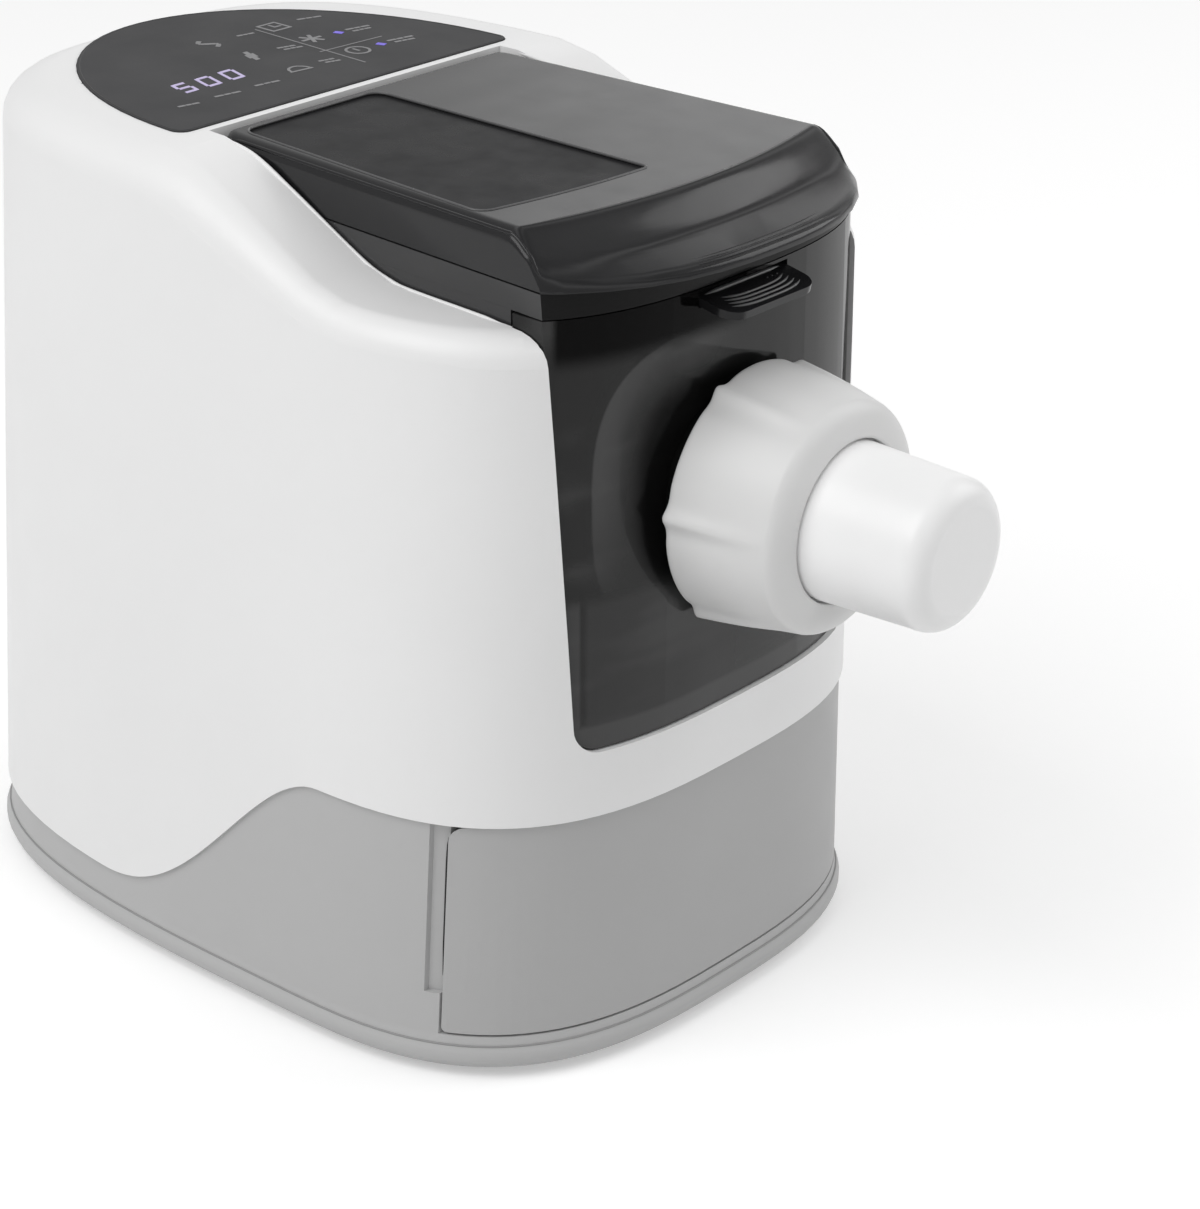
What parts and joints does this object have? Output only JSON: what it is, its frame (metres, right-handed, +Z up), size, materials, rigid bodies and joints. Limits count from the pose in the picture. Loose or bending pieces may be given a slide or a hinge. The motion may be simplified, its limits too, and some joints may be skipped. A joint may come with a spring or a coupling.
{
  "type": "electric pasta maker",
  "caption": "Countertop electric pasta maker with smoked hinged hopper lid, screw extruder with lock nut and hooded outlet, geared motor, control panel and storage drawer.",
  "frame": {"origin": "on the surface that the feet stand on, under the middle of the whole object's box", "axes": "+Z up; -Y the front, where the outlet points; +X the machine's left as seen from behind, across its width"},
  "size_m": [0.2364, 0.3898, 0.2946],
  "materials": {
    "shell_white": "smooth satin moulded plastic",
    "base_grey": "fine matte moulded plastic",
    "bead_rubber": "soft rubber",
    "smoked": "glossy smoked see-through plastic",
    "panel_black": "glossy black overlay",
    "dark_plastic": "matte dark plastic",
    "nut_grey": "satin light grey plastic",
    "hood_white": "satin white plastic",
    "die_plastic": "ivory plastic",
    "seal_rubber": "food-safe rubber",
    "board_green": "circuit board",
    "gear_nylon": "nylon",
    "steel": "machined steel",
    "brass": "sintered brass",
    "bin_plastic": "translucent grey plastic"
  },
  "bodies": {
    "housing": {"body_shell": "shell_white", "base_tray": "base_grey", "foot_front_left": "bead_rubber", "foot_front_right": "bead_rubber", "foot_rear_left": "bead_rubber", "foot_rear_right": "bead_rubber", "inner_frame": "steel", "control_panel": "panel_black", "display_module": "dark_plastic", "control_board": "board_green", "mixing_chamber": "dark_plastic", "shaft_seal": "seal_rubber", "gearbox_case": "dark_plastic", "gearbox_cover": "dark_plastic", "output_bearing": "steel", "motor_case": "steel", "motor_end_bell": "dark_plastic", "power_board": "board_green", "power_inlet": "dark_plastic", "lid_switch": "dark_plastic", "base_screws": "steel", "stage_shaft": "steel"},
    "lid_assembly": {"lid": "smoked", "lid_magnet": "steel"},
    "drawer": {"drawer_front": "base_grey", "drawer_bin": "bin_plastic"},
    "front_assembly": {"front_panel": "smoked", "extrusion_barrel": "dark_plastic", "barrel_gasket": "seal_rubber"},
    "tab": {"release_tab": "dark_plastic"},
    "die_set": {"pasta_die": "die_plastic", "die_gasket": "seal_rubber", "outlet_hood": "hood_white"},
    "nut": {"lock_nut": "nut_grey"},
    "mixer": {"mixing_paddle": "hood_white", "extrusion_screw": "hood_white"},
    "output_drive": {"output_shaft": "steel", "output_gear": "gear_nylon"},
    "stage_drive": {"stage_gear": "gear_nylon"},
    "motor_drive": {"motor_rotor": "steel", "motor_pinion": "brass"}
  },
  "joints": [
    {"name": "lid_hinge", "type": "hinge", "parent": "housing", "child": "lid_assembly", "pos_m": [0, 0.0611, 0.2885], "axis": [-1, 0, 0], "range_deg": [0, 80]},
    {"name": "drawer_slide", "type": "slide", "parent": "housing", "child": "drawer", "axis": [0, -1, 0], "range_m": [0, 0.13]},
    {"name": "front_slide", "type": "slide", "parent": "housing", "child": "front_assembly", "axis": [0, -1, 0], "range_m": [0, 0.12]},
    {"name": "tab_hinge", "type": "hinge", "parent": "front_assembly", "child": "tab", "pos_m": [0, -0.09842, 0.2627], "axis": [-1, 0, 0], "range_deg": [0, 10], "stiffness_Nm_per_rad": 0.2, "springref_deg": -5.73},
    {"name": "die_slide", "type": "slide", "parent": "front_assembly", "child": "die_set", "axis": [0, -1, 0], "range_m": [0, 0.0082]},
    {"name": "nut_turn", "type": "hinge", "parent": "die_set", "child": "nut", "pos_m": [0, -0.1279, 0.194], "axis": [0, -1, 0], "range_deg": [0, 360]},
    {"name": "mixer_spin", "type": "hinge", "parent": "housing", "child": "mixer", "pos_m": [0, -0.0079, 0.194], "axis": [0, 1, 0], "continuous": true},
    {"name": "output_spin", "type": "hinge", "parent": "housing", "child": "output_drive", "pos_m": [0, 0.0881, 0.194], "axis": [0, 1, 0], "continuous": true},
    {"name": "stage_spin", "type": "hinge", "parent": "housing", "child": "stage_drive", "pos_m": [0.02029, 0.0901, 0.13754], "axis": [0, 1, 0], "continuous": true},
    {"name": "motor_spin", "type": "hinge", "parent": "housing", "child": "motor_drive", "pos_m": [0, 0.1321, 0.106], "axis": [0, 1, 0], "continuous": true}
  ],
  "couplings": [
    {"joint": "die_slide", "follows": "nut_turn", "m_per_rad": 0.0012732},
    {"joint": "output_spin", "follows": "mixer_spin", "ratio": 1},
    {"joint": "stage_spin", "follows": "mixer_spin", "ratio": -4},
    {"joint": "motor_spin", "follows": "mixer_spin", "ratio": 16}
  ]
}
